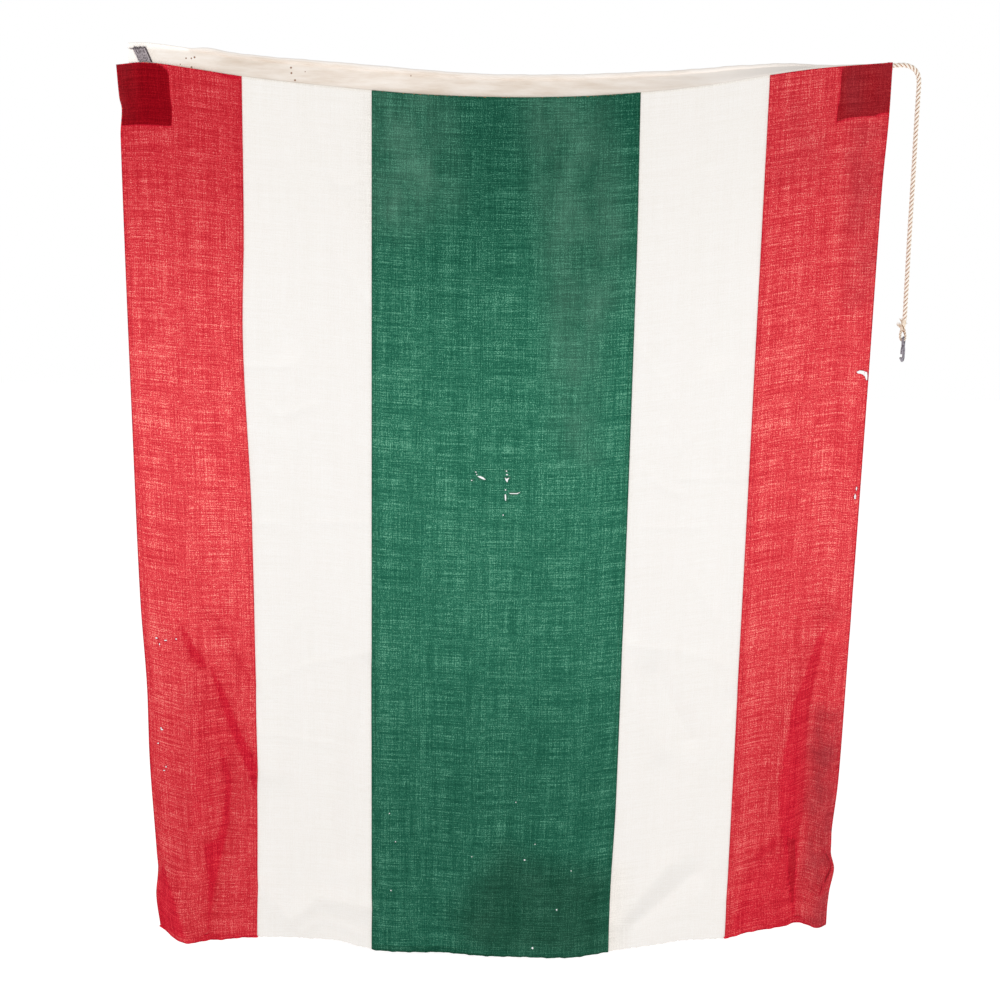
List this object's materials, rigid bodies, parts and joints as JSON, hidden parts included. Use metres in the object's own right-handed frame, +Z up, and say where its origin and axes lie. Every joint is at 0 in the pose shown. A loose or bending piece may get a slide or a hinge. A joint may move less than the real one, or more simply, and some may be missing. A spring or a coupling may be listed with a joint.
{
  "type": "hung striped bunting flag",
  "caption": "Worn bunting flag of sewn vertical stripes, hung flat from a canvas heading, with corner patches, small tears and a laid rope that ends in a cast clip.",
  "frame": {"origin": "middle of the heading's top edge, where the hung flag is held", "axes": "+Z up along the fall of the cloth, +X along the hoist to the viewer's right, +Y back through the cloth away from the viewer"},
  "size_m": [1.5403, 0.063, 1.8513],
  "materials": {
    "red_bunting": "open plain weave, matt",
    "white_bunting": "plain weave, matt, aged cream",
    "green_bunting": "open plain weave, matt",
    "patch_cloth": "close plain weave, matt",
    "canvas": "doubled cotton canvas",
    "webbing": "woven tape, frayed",
    "rope": "laid cotton rope",
    "cast_metal": "dull weathered casting"
  },
  "bodies": {
    "root": {"panel_red_left": "red_bunting", "panel_white_left": "white_bunting", "panel_green": "green_bunting", "panel_white_right": "white_bunting", "panel_red_right": "red_bunting", "heading": "canvas", "corner_patch_left": "patch_cloth", "corner_patch_right": "patch_cloth", "webbing_tab": "webbing", "rope": "rope", "rope_eye": "rope", "clip": "cast_metal"}
  },
  "joints": []
}
